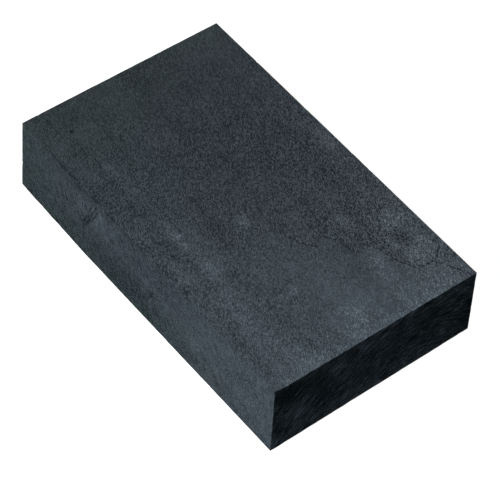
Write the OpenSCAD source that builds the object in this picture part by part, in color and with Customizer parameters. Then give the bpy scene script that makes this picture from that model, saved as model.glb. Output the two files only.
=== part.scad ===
// A block of pressed charcoal: one solid brick, sawn to size, with nothing inside it and nothing fixed to it.
// It lies on its broad face. X runs along its length, Y across its width, Z up through its thickness,
// and the origin is the middle of the face that it lies on.

/* [Block] */
// Length, along X
block_l = 100; // [60:1:160]
// Width, along Y
block_w = 60; // [40:1:100]
// Thickness, along Z
block_h = 22; // [12:1:40]

/* [Edges] */
// Width of the flat that handling has rubbed along all twelve edges, measured on each face
edge_flat = 0.2; // [0.1:0.1:1.5]

/* [Chipped corner] */
// How far the chip on a top corner reaches back along the length
chip_l = 0.4; // [0.3:0.1:4]
// How far it reaches along the width
chip_w = 4.5; // [1:0.5:10]
// How far it reaches down the thickness
chip_h = 0.8; // [0.5:0.1:4]

/* [Rubbed lower edge] */
// How far the worn run along one lower edge reaches from the end of the block
worn_l = 30; // [5:1:50]
// How far the wear reaches in under the block, at its deepest
worn_w = 1.5; // [0.7:0.1:4]
// How far it reaches up the side of the block, at its deepest
worn_h = 1.2; // [0.7:0.1:4]

/* [Hidden] */
charcoal = "#3d474f";
cut_size = 2 * max(block_l, block_w, block_h);

// A rectangle centred on the origin, with its four corners cut off at 45 degrees
function cut_rectangle(length, width, flat) = [
    for (turn = [0 : 3])
        let (
            half = turn % 2 == 0 ? [length, width] / 2 : [width, length] / 2,
            along = [cos(90 * turn), sin(90 * turn)],
            across = [-sin(90 * turn), cos(90 * turn)]
        )
        each [
            along * half.x + across * (half.y - flat),
            along * (half.x - flat) + across * half.y
        ]
];

// The same rectangle drawn out to a bar of the given depth, centred on the origin, along Z
module cut_bar(length, width, flat, depth) {
    linear_extrude(height = depth, center = true)
        polygon(cut_rectangle(length, width, flat));
}

// The sawn block, where three bars at right angles meet, so that every edge has its flat
module sawn_block() {
    translate([0, 0, block_h / 2])
        intersection() {
            cut_bar(block_l, block_w, edge_flat, block_h);
            rotate([90, 0, 0]) cut_bar(block_l, block_h, edge_flat, block_w);
            rotate([0, 90, 0]) cut_bar(block_h, block_w, edge_flat, block_l);
        }
}

// All that lies beyond a plane, on the side of a corner of the block.
// reach holds the distances from the corner, along X, Y and Z into the block, at which the plane meets its edges.
module beyond_corner_plane(corner, reach) {
    outward = -[1 / reach.x, 1 / reach.y, 1 / reach.z];
    translate([corner.x + reach.x, corner.y, corner.z])
        rotate([0, acos(outward.z / norm(outward)), atan2(outward.y, outward.x)])
        translate([-cut_size / 2, -cut_size / 2, 0])
        cube(cut_size);
}

module charcoal_block() {
    color(charcoal)
        difference() {
            sawn_block();
            beyond_corner_plane([block_l / 2, -block_w / 2, block_h], [-chip_l, chip_w, -chip_h]);
            beyond_corner_plane([-block_l / 2, -block_w / 2, 0], [worn_l, worn_w, worn_h]);
        }
}

charcoal_block();
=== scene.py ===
import math
import random

import bmesh
import bpy
import numpy as np
from mathutils import Matrix, Vector, noise


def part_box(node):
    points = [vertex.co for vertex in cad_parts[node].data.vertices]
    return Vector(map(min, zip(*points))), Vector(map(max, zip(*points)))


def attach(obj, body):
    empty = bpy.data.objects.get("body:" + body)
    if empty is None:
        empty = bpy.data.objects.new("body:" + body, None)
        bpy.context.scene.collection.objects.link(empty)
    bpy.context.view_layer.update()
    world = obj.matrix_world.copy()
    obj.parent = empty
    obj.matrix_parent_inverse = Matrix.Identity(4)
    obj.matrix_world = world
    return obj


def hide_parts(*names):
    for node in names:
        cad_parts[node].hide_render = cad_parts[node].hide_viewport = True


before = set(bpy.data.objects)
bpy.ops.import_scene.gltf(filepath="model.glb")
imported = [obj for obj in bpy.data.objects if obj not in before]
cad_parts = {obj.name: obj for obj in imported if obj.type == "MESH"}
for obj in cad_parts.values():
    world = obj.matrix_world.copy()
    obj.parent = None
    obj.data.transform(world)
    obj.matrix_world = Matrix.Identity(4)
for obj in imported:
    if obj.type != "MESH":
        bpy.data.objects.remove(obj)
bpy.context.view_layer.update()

# The block's surface is worked out in millimetres, in the row frame, and turned into metres at the end.
MM = 0.001
NODE = "charcoal_block"
low, high = [np.array(corner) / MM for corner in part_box(NODE)]
size = high - low
middle = (low + high) / 2


# ---------- The block's surface ----------

GRID_STEP = 0.56        # spacing of the surface grid away from the edges
EDGE_STEP = 0.06        # its spacing right at an edge, so that the rubbed edge is round
EDGE_GROWTH = 1.4       # how fast the spacing grows from the one to the other
LINE_REACH = 0.6        # how far from a crack or scratch the grid is made finer
LINE_CUTS = 3

# The hair crack that wanders over the top and the branch that leaves it for the back, as X, Y on the top
CRACK = [[(49.5, 28.6), (47.2, 27.6), (44.4, 26.1), (41.3, 24.3), (41, 20.6), (39.6, 18.9), (36.6, 17.4),
          (33.8, 16.6), (29, 15.2), (27.4, 13.4), (28.8, 10.9), (25.6, 10.1), (22.6, 9.3), (20.3, 7.8),
          (20.2, 6.5), (21.8, 4.2), (19.2, 2.2), (15.5, 0.7)],
         [(41.3, 24.3), (40.8, 25.6), (38.9, 28)]]
CRACK_DEPTH = 0.16
CRACK_HALF_WIDTH = 0.3

# Scratches: along the top as X, Y, and across the front long side as X, Z
TOP_SCRATCHES = [[(-42, -15), (-28, -15.4)], [(-47, -24.4), (-39, -24.8)]]
SIDE_SCRATCHES = [[(-23.1, 10), (-22.3, 12.7), (-21.9, 15.7), (-20.5, 19.7)],
                  [(-22.1, 12.2), (-21.1, 14.7), (-20.3, 17.2), (-19.1, 20)],
                  [(-24.7, 10.3), (-23.4, 12.5), (-22.7, 14.2)],
                  [(-20.7, 13.7), (-19.7, 16.2), (-18.4, 18.7)],
                  [(-24.3, 8.5), (-23.6, 11.5)],
                  [(2.5, 8.3), (4.2, 12)]]
SCRATCH_DEPTH = 0.08
SCRATCH_HALF_WIDTH = 0.26
TOP_SCRATCH_SHARE = 0.3     # how strong the top's scratches are beside the side's

# A small hole in the top, as X, Y
PIT = (-40.7, -21.7)
PIT_RADIUS = 0.5
PIT_DEPTH = 0.4

# Which end of an axis each side of the block is on: X is axis 0, Y is axis 1 and Z is axis 2
FAR, NEAR = -1, 1
FRONT, BACK = -1, 1
BOTTOM, TOP = -1, 1

# The block is a little out of square: how far each named corner stands in from the box, along X, Y and Z
CORNER_SHIFTS = {
    (FAR, FRONT, TOP): (0, 1.0, 0),
    (FAR, BACK, TOP): (0, -0.3, 0),
    (NEAR, BACK, TOP): (-0.2, -0.4, -0.1),
    (NEAR, BACK, BOTTOM): (-0.6, 0, 0.6),
    (FAR, FRONT, BOTTOM): (0.7, 0, 0),
    (NEAR, FRONT, TOP): (0, 0, -0.4),
}

# Planes that take material off, as a corner and how far along X, Y and Z each reaches, as in the CAD
CHIP = ((NEAR, FRONT, TOP), (0.4, 4.5, 0.8))
WORN_EDGE = ((FAR, FRONT, BOTTOM), (30.0, 1.5, 1.2))

# Where the saw blade's marks on both ends are centred, as Y, Z
SAW_CENTRE = (16, -28)

# Small knocks along the edges
NICK_COUNT = 70
NICK_SEED = 7
NICK_RADIUS = (0.5, 1.6)
NICK_DEPTH = (0.05, 0.22)

FAR_STROKE_SHARE = 0.35     # how strong the saw strokes on the far end are beside the near end's

CHART_GAP = 1.2         # space left between the rectangles of the map


def grid_lines(start, end):
    """Grid places along one axis, fine at both ends and a grid step apart between."""
    offsets = [0.0]
    gap = EDGE_STEP
    while offsets[-1] + gap < (end - start) / 2:
        offsets.append(offsets[-1] + gap)
        gap = min(gap * EDGE_GROWTH, GRID_STEP)
    return [start + o for o in offsets] + [end - o for o in reversed(offsets)]


def on_side(flat, axis, end):
    """Which points lie on the side of the box at one end of an axis."""
    return np.isclose(flat[:, axis], high[axis] if end > 0 else low[axis])


def box_grid():
    """A closed box of quads, as a bmesh."""
    lines = [grid_lines(low[axis], high[axis]) for axis in range(3)]
    bm = bmesh.new()
    made = {}

    def vertex(index):
        if index not in made:
            made[index] = bm.verts.new([lines[axis][index[axis]] for axis in range(3)])
        return made[index]

    for axis in range(3):
        along, across = (axis + 1) % 3, (axis + 2) % 3
        for end in (0, len(lines[axis]) - 1):
            for a in range(len(lines[along]) - 1):
                for b in range(len(lines[across]) - 1):
                    quad = []
                    for da, db in ((0, 0), (1, 0), (1, 1), (0, 1)):
                        index = [0, 0, 0]
                        index[axis], index[along], index[across] = end, a + da, b + db
                        quad.append(vertex(tuple(index)))
                    bm.faces.new(quad if end else quad[::-1])
    return bm


def distance_to_lines(points, lines):
    """Distance of each pair of coordinates in points to the nearest of some lines, each a list of places."""
    nearest = np.full(len(points), np.inf)
    for line in lines:
        for start, end in zip(line, line[1:]):
            start = np.array(start, float)
            step = np.subtract(end, start)
            along = np.clip((points - start) @ step / (step @ step), 0, 1)
            nearest = np.minimum(nearest, np.linalg.norm(points - start - along[:, None] * step, axis=1))
    return nearest


def refine_at_lines(bm):
    """Cuts the grid finer beside the crack and the scratches, and round the hole."""
    hole = [(PIT, (PIT[0] + 0.1, PIT[1]))]
    wanted = [((0, 0, 1), (0, 1), CRACK + TOP_SCRATCHES + hole), ((0, -1, 0), (0, 2), SIDE_SCRATCHES)]
    edges = set()
    for facing, axes, lines in wanted:
        faces = [f for f in bm.faces if f.normal.dot(Vector(facing)) > 0.5]
        centres = np.array([[f.calc_center_median()[axis] for axis in axes] for f in faces])
        for face, distance in zip(faces, distance_to_lines(centres, lines)):
            if distance < LINE_REACH:
                edges.update(face.edges)
    bmesh.ops.subdivide_edges(bm, edges=list(edges), cuts=LINE_CUTS, use_grid_fill=True)


def unwrap(bm):
    """One rectangle of the map for each side of the box, packed into a square."""
    gap = CHART_GAP
    length, width, height = size
    # Each is where the rectangle starts, as U, V, and which axes of the block run along U and V.
    charts = {
        (2, TOP): (0, 0, 1, 0),
        (2, BOTTOM): (width + gap, 0, 1, 0),
        (1, FRONT): (2 * (width + gap), 0, 2, 0),
        (1, BACK): (0, length + gap, 0, 2),
        (0, NEAR): (0, length + height + 2 * gap, 1, 2),
        (0, FAR): (width + gap, length + height + 2 * gap, 1, 2),
    }
    atlas = max(2 * (width + gap) + height, length + 2 * (height + gap))
    layer = bm.loops.layers.uv.new("OFBake")
    for face in bm.faces:
        axis = max(range(3), key=lambda i: abs(face.normal[i]))
        u0, v0, u_axis, v_axis = charts[axis, TOP if face.normal[axis] > 0 else BOTTOM]
        for loop in face.loops:
            u = u0 + loop.vert.co[u_axis] - low[u_axis]
            v = v0 + loop.vert.co[v_axis] - low[v_axis]
            loop[layer].uv = (u / atlas, v / atlas)


def noise_field(points, wavelength, seed):
    """Smooth noise from about -1 to 1 at each point."""
    return np.array([noise.noise(Vector(p)) for p in points / wavelength + seed])


def saw_marks(points, seed):
    """Uneven rings round the saw's centre, from about -1 to 1."""
    radius = np.hypot(points[:, 1] - SAW_CENTRE[0], points[:, 2] - SAW_CENTRE[1])
    drift = noise_field(points, 14, seed) * 0.8
    rings = np.column_stack([radius + drift, np.zeros(len(points)), np.zeros(len(points))])
    return noise_field(rings, 1.3, seed) + 0.5 * noise_field(rings, 3.1, seed + 5)


def edge_nicks():
    """Small knocks scattered along the edges, each as the centre and radius of a ball that pushes it in."""
    rng = random.Random(NICK_SEED)
    nicks = []
    for _ in range(NICK_COUNT):
        axis = rng.choices(range(3), weights=size)[0]
        centre = np.zeros(3)
        outward = np.zeros(3)
        for other in range(3):
            if other == axis:
                centre[other] = rng.uniform(low[other], high[other])
            else:
                outward[other] = rng.choice((-1, 1))
                centre[other] = middle[other] + outward[other] * size[other] / 2
        radius = rng.uniform(*NICK_RADIUS)
        depth = rng.uniform(*NICK_DEPTH)
        nicks.append((centre + outward / math.sqrt(2) * (radius - depth), radius))
    return nicks


def cut_by_plane(points, sides, reach, seed):
    """Lays whatever lies beyond a corner's plane back onto it, roughened."""
    sides, reach = np.array(sides), np.array(reach)
    corner = middle + sides * size / 2
    normal = sides / reach
    normal = normal / np.linalg.norm(normal)
    on_plane = corner - np.array([sides[0] * reach[0], 0, 0])
    beyond = (points - on_plane) @ normal
    cut = beyond > 0
    rough = 0.03 * (1 + noise_field(points[cut], 0.9, seed)) * np.clip(beyond[cut] / 0.2, 0, 1)
    points[cut] -= (beyond[cut] + rough)[:, None] * normal
    return cut


def shift_corners(points):
    """Moves each named corner in by its shift, and everything between the corners in proportion."""
    share = (points - low) / size
    moved = np.zeros_like(points)
    for sides, shift in CORNER_SHIFTS.items():
        weight = np.ones(len(points))
        for axis in range(3):
            weight *= share[:, axis] if sides[axis] > 0 else 1 - share[:, axis]
        moved += weight[:, None] * np.array(shift)
    points += moved


def rounded_box(flat):
    """The plain box with its edges rubbed round, and which way the surface faces at each point."""
    radius = 0.13 + 0.05 * noise_field(flat, 7, 3.1) + 0.1 * np.clip(noise_field(flat, 1.8, 8.4), 0, 1)
    radius = np.clip(radius, 0.07, 0.4)[:, None]
    core = np.clip(flat, low + radius, high - radius)
    outward = flat - core
    outward /= np.linalg.norm(outward, axis=1)[:, None]
    return core + outward * radius, outward


def near_lines(points, lines, half_width):
    """How near each point is to some lines, from 0 at the half width away to 1 on a line."""
    return np.clip(1 - distance_to_lines(points, lines) / half_width, 0, 1)


def line_marks(flat):
    """How far each point is into the crack, a scratch and the hole, from 0 to about 1."""
    on_top = on_side(flat, 2, TOP)
    warp = np.column_stack([noise_field(flat, 1.9, seed) for seed in (21.5, 37.2)]) * 0.3
    wandering = flat[:, :2] + warp
    nearly_straight = flat[:, :2] + 0.3 * warp
    on_elevation = flat[:, [0, 2]] + 0.5 * warp

    crack = near_lines(wandering, CRACK, CRACK_HALF_WIDTH) * on_top
    crack *= np.clip(0.8 + 0.9 * noise_field(flat, 2.2, 55.5), 0.35, 1)
    crack *= np.clip((flat[:, 0] - 24) / 12, 0.6, 1) * np.clip((46 - flat[:, 0]) / 3, 0.45, 1)

    scratch = near_lines(nearly_straight, TOP_SCRATCHES, SCRATCH_HALF_WIDTH) * on_top * TOP_SCRATCH_SHARE
    scratch += near_lines(on_elevation, SIDE_SCRATCHES, SCRATCH_HALF_WIDTH) * on_side(flat, 1, FRONT)
    scratch *= np.clip(0.85 + 0.8 * noise_field(flat, 1.7, 67.5), 0.2, 1)

    hole = np.clip(1 - np.linalg.norm(nearly_straight - PIT, axis=1) / PIT_RADIUS, 0, 1) * on_top
    return crack, scratch, hole


def edge_tone(flat):
    """How much paler rubbing leaves each edge, or below 0 how much darker grime does."""
    to_wall = np.sort(np.minimum(flat - low, high - flat), axis=1)[:, 1]
    rubbed = np.clip(1 - to_wall / 0.55, 0, 1) * np.clip(0.8 + noise_field(flat, 2.6, 63.1), 0, 1)
    grimy = np.clip((4 - flat[:, 0]) / 8, 0, 1) * np.clip((flat[:, 0] + 46) / 12, 0.3, 1)
    grimy *= np.clip(0.6 + 1.6 * noise_field(flat, 3.3, 91.7), 0, 1)
    beside_front_top_edge = (flat[:, 1] < low[1] + 1) & (flat[:, 2] > high[2] - 1)
    return rubbed * np.where(beside_front_top_edge, -0.35 * grimy, 0.12)


def shape_surface(flat):
    """Takes points on the plain box to the block's worn surface, with measures that its material needs."""
    on_end = on_side(flat, 0, NEAR) | on_side(flat, 0, FAR)
    on_long_side = (on_side(flat, 1, FRONT) | on_side(flat, 1, BACK)) & ~on_end
    points, outward = rounded_box(flat)
    crack, scratch, hole = line_marks(flat)

    depth = 0.03 + 0.03 * noise_field(flat, 21, 11.3) + 0.015 * noise_field(flat, 3.2, 17.7)
    depth += 0.02 * noise_field(flat, 1.2, 29.1)
    depth += on_end * 0.04 * saw_marks(flat, 41.3)
    depth = np.clip(depth, 0, None) + crack * CRACK_DEPTH + scratch * SCRATCH_DEPTH + hole * PIT_DEPTH
    points -= outward * depth[:, None]

    for centre, ball in edge_nicks():
        away = points - centre
        reach = np.linalg.norm(away, axis=1)
        dented = reach < ball
        points[dented] = centre + away[dented] / reach[dented][:, None] * ball
    broken = cut_by_plane(points, *CHIP, 61.7)
    cut_by_plane(points, *WORN_EDGE, 71.3)
    shift_corners(points)
    points = np.clip(points, low, high)

    measures = {
        "side": on_long_side,
        "streaked": on_long_side * np.clip(1 - flat[:, 0] / 35, 0.65, 1),
        "end": on_end * np.where(flat[:, 0] > middle[0], 1, FAR_STROKE_SHARE),
        # Painted shade: the crack, the scratches, the hole and the chip's facet are drawn darker, as the
        # shade that falls in them.
        "painted_cut_shade": np.clip(crack + 1.1 * scratch + hole * 3 + broken, 0, 1),
        "worn_tone": edge_tone(flat),
    }
    return points, measures


def past_crack(flat):
    """From 0 on the rough ground behind the crack to 1 on the smoother ground in front of it."""
    main = np.array(CRACK[0])[::-1]
    across = flat[:, 1]
    crack_x = np.interp(across, main[:, 1], main[:, 0]) + 1.2 * np.clip(across - main[0, 1], -12, 0)
    lead = flat[:, 0] - crack_x + 0.8 * noise_field(flat, 2.5, 81.9)
    step = np.clip(lead / 1.2, 0, 1) * np.clip((across + 8) / 10, 0, 1)
    return 0.45 * step + 0.55 * np.clip(lead / 16, 0, 1) * np.clip((across + 22) / 22, 0.35, 1)


def grain_coarseness(flat):
    """How strongly the grain stands out: on the top, least at the far end and in front of the crack."""
    rough_patch = np.exp(-((flat[:, 0] - 25) / 26) ** 2 - ((flat[:, 1] - 20) / 16) ** 2)
    level = 0.95 + 0.48 * rough_patch * (1 - past_crack(flat)) - 0.55 * past_crack(flat)
    level -= 0.38 * np.clip((-15 - flat[:, 0]) / 25, 0, 1)
    level += 0.15 * noise_field(flat, 8, 93.3)
    elsewhere = np.where(on_side(flat, 0, NEAR), 1.4, 0.9)
    return np.where(on_side(flat, 2, TOP), level, elsewhere)


# Paler marks, and darker ones where the strength is below 0. Each is where it is on the face, as X, Y on the
# top, X, Z on the front and Y, Z on the near end, then how far it reaches along each, and how strong it is.
TOP_MARKS = [(6, -5, 2.2, 1.6, 0.5), (26, 23.5, 2.4, 3, 1.0), (37.6, 22.4, 3, 3, 0.7),
             (33.5, 26.2, 2.5, 1.5, 0.5), (32, 19.5, 2.5, 1.5, 0.3),
             (31.5, 22.5, 1.8, 2, -0.14), (43, -1, 3, 2.4, 0.42),
             (47, -4, 2.5, 2.5, 0.25), (29, -8, 1.6, 1.2, 0.3), (1, -20.6, 5, 1.5, 0.42),
             (13, -19.6, 3.5, 1.8, 0.36), (28, -23, 6, 1.4, 0.3), (46, -18, 4, 2.5, 0.15),
             (49, 12, 1.5, 12, 0.25), (49, -15, 1.5, 12, 0.2), (-3, 27.5, 4, 2, 0.35),
             (33.5, 14, 3.2, 1.8, 0.35), (38, 12, 2.5, 1.2, 0.3), (18.8, 14, 1.5, 1.2, 0.6),
             (-47, 24, 5, 9, 0.2), (45, 21, 7, 9, 0.3), (-22, 8, 24, 20, -0.08), (-5, -4, 14, 12, -0.03),
             (26, -4, 10, 5, -0.06), (15, 28, 45, 5, 0.15), (46, 26, 6, 4, 0.15), (-14, -27, 12, 2.5, -0.08),
             (2, -25.5, 6, 2, -0.06), (-45, 0, 6, 5, -0.05), (7, -13, 5, 3, -0.05)]
FRONT_MARKS = [(-18, 17, 4, 4, 0.3), (-30, 15, 9, 5, 0.12), (-46, 14, 9, 9, 0.2), (21, 10, 3, 2.5, 0.3),
               (42, 14, 9, 6, 0.05), (-15, 5, 9, 4, -0.12), (-3, 6, 8, 5, -0.14), (15, 2, 14, 3, -0.05)]
END_MARKS = [(-26, 4, 7, 5, 0.15), (-8, 1.5, 12, 4, 0.4), (12, 1.5, 12, 4, 0.4), (-21, 10, 3.5, 4, 0.4),
             (-8, 17, 6, 3.5, 0.2), (2, 19, 8, 2, 0.2), (23, 19, 4, 3, 0.25), (-27, 18, 6, 5, -0.65),
             (-15, 9, 3, 5, -0.3), (-18, 16, 3, 4, -0.25), (-3.5, 11, 2.5, 4, -0.22), (8, 10, 6, 1.5, -0.25),
             (17, 15, 5, 5, -0.2), (29, 6, 3, 7, -0.35)]


def face_marks(flat):
    """How much paler, from 0 to 1, and how much darker the marks make each point; the paler share also holds
    painted sheen, which grows towards the near end of the top and the front.
    """
    on_top = on_side(flat, 2, TOP)
    on_front = on_side(flat, 1, FRONT)
    faces = [((0, 1), on_top, TOP_MARKS), ((0, 2), on_front, FRONT_MARKS),
             ((1, 2), on_side(flat, 0, NEAR), END_MARKS)]
    # Painted sheen: the top and the front are made paler towards the near end, where the light's sheen is
    # brighter.
    pale_marks_and_painted_sheen = (on_top | on_front) * 0.18 * np.clip((flat[:, 0] - 2) / 48, 0, 1)
    pale_marks_and_painted_sheen += on_top * 0.08 * past_crack(flat)
    shade = np.zeros(len(flat))
    for axes, on_face, marks in faces:
        for u, v, reach_u, reach_v, strength in marks:
            away = np.hypot((flat[:, axes[0]] - u) / reach_u, (flat[:, axes[1]] - v) / reach_v)
            mark = on_face * np.exp(-away ** 2) * abs(strength)
            if strength > 0:
                pale_marks_and_painted_sheen += mark
            else:
                shade += mark
    return np.clip(pale_marks_and_painted_sheen, 0, 1), shade


# Patches of the near end that lean to teal: where they are, as Y, Z, and how far each way they reach
END_TEAL = [(-23, 17, 9, 8), (18, 16, 7, 8), (27, 9, 6, 9)]


def teal_share(flat):
    """Where the grey leans to teal, from 0 to 1: the far end, the top's front, low on the sides, END_TEAL."""
    x, y, z = flat.T
    on_top = on_side(flat, 2, TOP)
    wander = 6 * noise_field(flat, 8, 95.1) + 2.5 * noise_field(flat, 3, 97.3)
    reach = np.where(on_top, 8 + 0.5 * np.clip(16 - y, 0, 22), 17)
    far_end = np.clip((low[0] - x + reach + wander) / 3, 0, 1) * np.where(on_side(flat, 0, FAR), 0.6, 1)
    band_top = np.clip((-4 - y + wander) / 3, 0, 0.7) * np.clip((-17 - 0.8 * y - x + wander) / 4, 0, 1)
    band_side = np.clip((10 - z + wander) / 4, 0, 1) * np.clip((36 - x) / 25, 0, 1)
    band_side *= ~on_side(flat, 2, BOTTOM)
    share = np.clip(far_end + np.where(on_top, band_top, band_side), 0, 1)
    share -= on_top * 0.8 * np.exp(-((x + 25) / 8) ** 2 - ((y + 5) / 3.5) ** 2)
    for across, up, reach_across, reach_up in END_TEAL:
        patch = np.exp(-((y - across) / reach_across) ** 2 - ((z - up) / reach_up) ** 2)
        share += on_side(flat, 0, NEAR) * patch
    return np.clip(share, 0, 1)


def lengthwise_share(flat):
    """How strong the soft bands that run along the block are: on the top, most at its near front."""
    near_front = np.clip((-4 - flat[:, 1]) / 10, 0.5, 1) * np.clip((flat[:, 0] + 30) / 25, 0.5, 1)
    return np.where(on_side(flat, 2, TOP), near_front, 0.6)


def make_block():
    """The block's mesh, with everything its material needs to know held at its vertices."""
    bm = box_grid()
    bm.normal_update()
    refine_at_lines(bm)
    bm.normal_update()
    unwrap(bm)
    mesh = bpy.data.meshes.new("charcoal_body")
    bm.to_mesh(mesh)
    bm.free()
    flat = np.zeros(len(mesh.vertices) * 3)
    mesh.vertices.foreach_get("co", flat)
    flat = flat.reshape(-1, 3)
    points, measures = shape_surface(flat)
    measures["pale_marks_and_painted_sheen"], measures["shade"] = face_marks(flat)
    measures["coarseness"] = grain_coarseness(flat)
    measures["teal"] = teal_share(flat)
    measures["lengthwise"] = lengthwise_share(flat)
    mesh.vertices.foreach_set("co", (points * MM).ravel())
    for name, values in measures.items():
        mesh.attributes.new(name, "FLOAT", "POINT").data.foreach_set("value", values.astype(float))
    mesh.shade_smooth()
    mesh.update()
    block = bpy.data.objects.new("charcoal_body", mesh)
    bpy.context.scene.collection.objects.link(block)
    return block


# ---------- The charcoal ----------

# How large each part of the grain is, in millimetres
PEBBLE_SIZE = 0.24
CELL_SIZE = 0.22
STREAK_SIZE = 0.45
COARSE_SIZE = 1.7
BAND_SIZE = 4
MOTTLE_SIZE = 6
STROKE_GAP = 0.38
STROKE_LENGTH = 2.6
STROKE_WANDER = 1.6
STROKE_RADIUS = 30      # radius of the saw ring on which the strokes have just that length

# How far the grain on the top and ends, and the streaks on the long sides, are turned, in degrees
GRAIN_TURN = 30
STREAK_TURN = 28

BASE_TONE = 0.27        # where the tone lies between the dark and the pale colour with nothing added
MOST_TONE = 1.5
BLUE_DARK, BLUE_PALE = (0.0072, 0.0130, 0.0190, 1), (0.116, 0.143, 0.169, 1)
TEAL_DARK, TEAL_PALE = (0.0078, 0.0138, 0.0160, 1), (0.108, 0.143, 0.156, 1)
BUMP_HEIGHT = 0.12
MATERIAL_MEASURES = ("side", "streaked", "end", "painted_cut_shade", "worn_tone", "pale_marks_and_painted_sheen", "shade", "coarseness", "teal",
                     "lengthwise")


def add_node(tree, kind, inputs=None, **settings):
    """A shader node with its settings made and its inputs set, or linked where they are given a socket."""
    node = tree.nodes.new(kind)
    for name, value in settings.items():
        setattr(node, name, value)
    for name, value in (inputs or {}).items():
        if isinstance(value, bpy.types.NodeSocket):
            tree.links.new(value, node.inputs[name])
        else:
            node.inputs[name].default_value = value
    return node


def maths(tree, operation, a, b=0.0, c=0.0):
    return add_node(tree, "ShaderNodeMath", {0: a, 1: b, 2: c}, operation=operation).outputs[0]


def spread(tree, value, from_low, from_high, to_low=0.0, to_high=1.0):
    """Maps one range of a value to another, and holds it there."""
    return add_node(tree, "ShaderNodeMapRange", {
        "Value": value, "From Min": from_low, "From Max": from_high,
        "To Min": to_low, "To Max": to_high}).outputs["Result"]


def times(tree, a, b):
    return maths(tree, "MULTIPLY", a, b)


def total(tree, first, *others):
    """The sum of several values."""
    for other in others:
        first = maths(tree, "ADD", first, other)
    return first


def blend(tree, share, a, b):
    """A colour from a at a share of 0 to b at 1, and on beyond b above that."""
    mix = add_node(tree, "ShaderNodeMix", {0: share, 6: a, 7: b}, data_type="RGBA", clamp_factor=False)
    return mix.outputs[2]


def noise_at(tree, place, wavelength, detail=2.0, roughness=0.5):
    """Noise that is mostly from 0.3 to 0.7, with features so many millimetres across."""
    return add_node(tree, "ShaderNodeTexNoise", {
        "Vector": place, "Scale": 1 / (wavelength * MM), "Detail": detail,
        "Roughness": roughness}).outputs["Fac"]


def attribute(tree, name):
    return add_node(tree, "ShaderNodeAttribute", attribute_name=name).outputs["Fac"]


def stretched(tree, place, turn, scale):
    """The same place, turned and then squeezed along its axes, so that noise there is drawn out."""
    turned = add_node(tree, "ShaderNodeMapping", {"Vector": place, "Rotation": turn}).outputs[0]
    return add_node(tree, "ShaderNodeMapping", {"Vector": turned, "Scale": scale}).outputs[0]


def saw_strokes(tree, place, across, along):
    """Fine strokes that follow rings round the saw's centre, so many millimetres apart and about so long."""
    centred = add_node(tree, "ShaderNodeVectorMath", {
        0: place, 1: (0, -SAW_CENTRE[0] * MM, -SAW_CENTRE[1] * MM)}, operation="ADD").outputs[0]
    parts = add_node(tree, "ShaderNodeSeparateXYZ", {"Vector": centred})
    flat = add_node(tree, "ShaderNodeVectorMath", {0: centred, 1: (0, 1, 1)}, operation="MULTIPLY").outputs[0]
    radius = add_node(tree, "ShaderNodeVectorMath", {0: flat}, operation="LENGTH").outputs["Value"]
    angle = maths(tree, "ARCTAN2", parts.outputs["Z"], parts.outputs["Y"])
    wander = times(tree, noise_at(tree, place, 8, 2), STROKE_WANDER * MM)
    ring = maths(tree, "DIVIDE", maths(tree, "ADD", radius, wander), across * MM)
    arc = times(tree, angle, STROKE_RADIUS / along)
    place_on_ring = add_node(tree, "ShaderNodeCombineXYZ", {"X": ring, "Y": arc, "Z": 0.0}).outputs[0]
    return add_node(tree, "ShaderNodeTexNoise", {
        "Vector": place_on_ring, "Scale": 1.0, "Detail": 3.0, "Roughness": 0.65}).outputs["Fac"]


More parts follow.
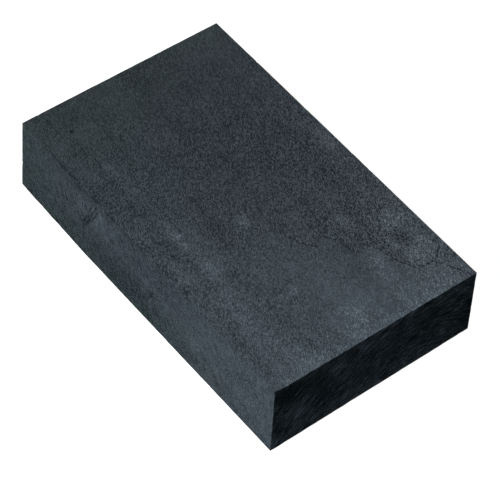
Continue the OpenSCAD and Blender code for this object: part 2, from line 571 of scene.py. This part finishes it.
def charcoal_material():
    """Grain, streaks, saw strokes and marks, with painted sheen, glints and shade, added up to a tone from a
    deep grey to a pale one.
    """
    material = bpy.data.materials.new("charcoal")
    material.use_nodes = True
    tree = material.node_tree
    shader = tree.nodes["Principled BSDF"]
    place = add_node(tree, "ShaderNodeTexCoord").outputs["Object"]
    side, streaked, end, painted_cut_shade, worn_tone, pale_marks_and_painted_sheen, shade, coarseness, teal, lengthwise = [
        attribute(tree, name) for name in MATERIAL_MEASURES]

    drawn_out = stretched(tree, place, (0, 0, math.radians(GRAIN_TURN)), (0.5, 1, 1))
    grain_place = add_node(tree, "ShaderNodeMix", {
        0: side, 4: drawn_out, 5: place}, data_type="VECTOR").outputs[1]
    pebbles = noise_at(tree, grain_place, PEBBLE_SIZE, 2, 0.75)
    cells = add_node(tree, "ShaderNodeTexVoronoi", {
        "Vector": grain_place, "Scale": 1 / (CELL_SIZE * MM)}, feature="F1").outputs["Color"]
    specks = add_node(tree, "ShaderNodeSeparateColor", {"Color": cells})
    coarse = noise_at(tree, place, COARSE_SIZE, 3, 0.55)
    mottle = noise_at(tree, place, MOTTLE_SIZE, 4, 0.6)
    bands = noise_at(tree, stretched(tree, place, (0, 0, 0), (0.14, 1, 1)), BAND_SIZE, 3, 0.55)
    along_streaks = stretched(tree, place, (0, math.radians(STREAK_TURN), 0), (1, 1, 0.2))
    streaks = noise_at(tree, along_streaks, STREAK_SIZE, 2, 0.6)
    strokes = saw_strokes(tree, place, STROKE_GAP, STROKE_LENGTH)

    # Each of these spreads evenly about nothing, so that its strength does not shift the tone.
    grain = total(tree, spread(tree, pebbles, 0.3, 0.7, -0.5, 0.5),
                  spread(tree, specks.outputs[0], 0, 1, -0.4, 0.4))
    coarsened = times(tree, grain, coarseness)
    fine = total(tree, coarsened, times(tree, streaked, spread(tree, streaks, 0.3, 0.7, -0.32, 0.32)))
    sawn = times(tree, end, spread(tree, strokes, 0.3, 0.7, -0.5, 0.5))
    soft_bands = times(tree, lengthwise, spread(tree, bands, 0.3, 0.7, -0.1, 0.1))
    clouds = spread(tree, mottle, 0.3, 0.7, -0.055, 0.055)

    # These only make it paler: the grain squared, which lifts its bright points as painted glints and softens
    # its dark ones, then the pale marks, which also carry the near end's painted sheen, and the flecks in
    # them, which are painted glints.
    grain_and_painted_glints = times(tree, times(tree, coarsened, grain), 0.47)
    pale = times(tree, pale_marks_and_painted_sheen, spread(tree, coarse, 0.35, 0.65, 0.2, 0.6))
    painted_glint_flecks = times(tree, pale_marks_and_painted_sheen, spread(tree, specks.outputs[1], 0.75, 0.9, 0, 1.3))

    grainy = times(tree, total(tree, fine, grain_and_painted_glints), 0.68)
    tone = total(tree, BASE_TONE, grainy, times(tree, sawn, 2.4), clouds, soft_bands, pale, painted_glint_flecks)
    tone = total(tree, maths(tree, "SUBTRACT", tone, shade), worn_tone)
    # Painted shade in the crack, the scratches, the hole and on the chip's facet.
    tone = maths(tree, "SUBTRACT", tone, times(tree, painted_cut_shade, 0.75))
    tone = add_node(tree, "ShaderNodeClamp", {"Value": tone, "Max": MOST_TONE}).outputs[0]
    blue_grey = blend(tree, tone, BLUE_DARK, BLUE_PALE)
    teal_grey = blend(tree, tone, TEAL_DARK, TEAL_PALE)
    tree.links.new(blend(tree, teal, blue_grey, teal_grey), shader.inputs["Base Color"])
    tree.links.new(spread(tree, fine, -0.5, 0.5, 0.82, 0.62), shader.inputs["Roughness"])
    shader.inputs["Specular IOR Level"].default_value = 0.12

    height = total(tree, fine, times(tree, coarse, 0.7), sawn)
    bump = add_node(tree, "ShaderNodeBump", {
        "Height": height, "Strength": 1.0, "Distance": BUMP_HEIGHT * MM}).outputs["Normal"]
    tree.links.new(bump, shader.inputs["Normal"])
    return material


# ---------- Floor, light and camera ----------

FLOOR_REACH = 30        # how many times the block's length the floor reaches from the middle
FLOOR_GREY = (0.3, 0.3, 0.3, 1)
FLOOR_GLOW = 0.98


def make_floor():
    """A plain white floor under the block, for the picture only."""
    reach = FLOOR_REACH * size.max() * MM
    mesh = bpy.data.meshes.new("floor")
    bottom = low[2] * MM
    corners = [(x * reach, y * reach, bottom) for x, y in ((-1, -1), (1, -1), (1, 1), (-1, 1))]
    mesh.from_pydata(corners, [], [(0, 1, 2, 3)])
    floor = bpy.data.objects.new("floor", mesh)
    bpy.context.scene.collection.objects.link(floor)
    material = bpy.data.materials.new("floor_paper")
    material.use_nodes = True
    shader = material.node_tree.nodes["Principled BSDF"]
    shader.inputs["Base Color"].default_value = FLOOR_GREY
    shader.inputs["Roughness"].default_value = 0.9
    shader.inputs["Emission Color"].default_value = (1, 1, 1, 1)
    shader.inputs["Emission Strength"].default_value = FLOOR_GLOW
    mesh.materials.append(material)
    # The floor throws no light onto the block and does not show in it.
    floor.visible_diffuse = False
    floor.visible_glossy = False


# Where each light is, what the key light is aimed at and how large they are, in millimetres, with each
# light's power in watts
KEY_PLACE = (20, -340, 290)
KEY_AIM = (50, -10, 10)
KEY_POWER = 12.0
KEY_SIZE = 70
KEY_CONE = 52           # in degrees
BACK_PLACE = (-420, 330, 25)
BACK_POWER = 2.0
END_PLACE = (420, -160, 60)
END_POWER = 0.45
END_COLOUR = (0.85, 0.94, 1)
FILL_SIZE = 200
WORLD_GREY = (0.93, 0.93, 0.93, 1)


def add_light(kind, name, place, aim, power, **settings):
    """A light at a place in millimetres, turned towards another."""
    data = bpy.data.lights.new(name, kind)
    data.energy = power
    for setting, value in settings.items():
        setattr(data, setting, value)
    light = bpy.data.objects.new(name, data)
    light.location = Vector(place) * MM
    light.rotation_euler = (Vector(aim) - Vector(place)).to_track_quat("-Z", "Y").to_euler()
    bpy.context.scene.collection.objects.link(light)


def make_lights():
    """A soft key light from the front, two fills from the ends, and a plain pale background."""
    add_light("SPOT", "key", KEY_PLACE, KEY_AIM, KEY_POWER,
              shadow_soft_size=KEY_SIZE * MM, spot_size=math.radians(KEY_CONE), spot_blend=1)
    add_light("AREA", "back_fill", BACK_PLACE, middle, BACK_POWER, size=FILL_SIZE * MM)
    add_light("AREA", "end_fill", END_PLACE, middle, END_POWER, size=FILL_SIZE * MM, color=END_COLOUR)

    # The world is only a background: it lights nothing.
    world = bpy.data.worlds.new("studio")
    world.use_nodes = True
    world.node_tree.nodes["Background"].inputs["Color"].default_value = WORLD_GREY
    world.cycles_visibility.diffuse = False
    world.cycles_visibility.glossy = False
    bpy.context.scene.world = world
    bpy.context.scene.view_settings.view_transform = "Standard"


# The camera: its angles in degrees, and its distance and focal length in millimetres
VIEW_AZIMUTH = 49.6
VIEW_ELEVATION = 49.4
VIEW_ROLL = 3.6
VIEW_DISTANCE = 668
LENS = 203
AIM = (6.6, -2.9)       # how far from the block's middle, along X and Y, the camera looks


def make_camera():
    """The camera, looking the way that the photograph was taken."""
    azimuth = math.radians(VIEW_AZIMUTH)
    elevation = math.radians(VIEW_ELEVATION)
    back = Vector((math.sin(azimuth) * math.cos(elevation), -math.cos(azimuth) * math.cos(elevation),
                   math.sin(elevation)))
    data = bpy.data.cameras.new("camera")
    data.lens = LENS
    data.clip_start = 0.01
    data.clip_end = 20
    camera = bpy.data.objects.new("camera", data)
    aim = Vector((middle[0] + AIM[0], middle[1] + AIM[1], middle[2]))
    roll = Matrix.Rotation(math.radians(VIEW_ROLL), 3, "Z")
    turn = (-back).to_track_quat("-Z", "Y").to_matrix() @ roll
    camera.matrix_world = Matrix.Translation((aim + back * VIEW_DISTANCE) * MM) @ turn.to_4x4()
    bpy.context.scene.collection.objects.link(camera)
    bpy.context.scene.camera = camera


block = make_block()
block.data.materials.append(charcoal_material())
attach(block, "root")
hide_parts(NODE)

make_floor()
make_lights()
make_camera()
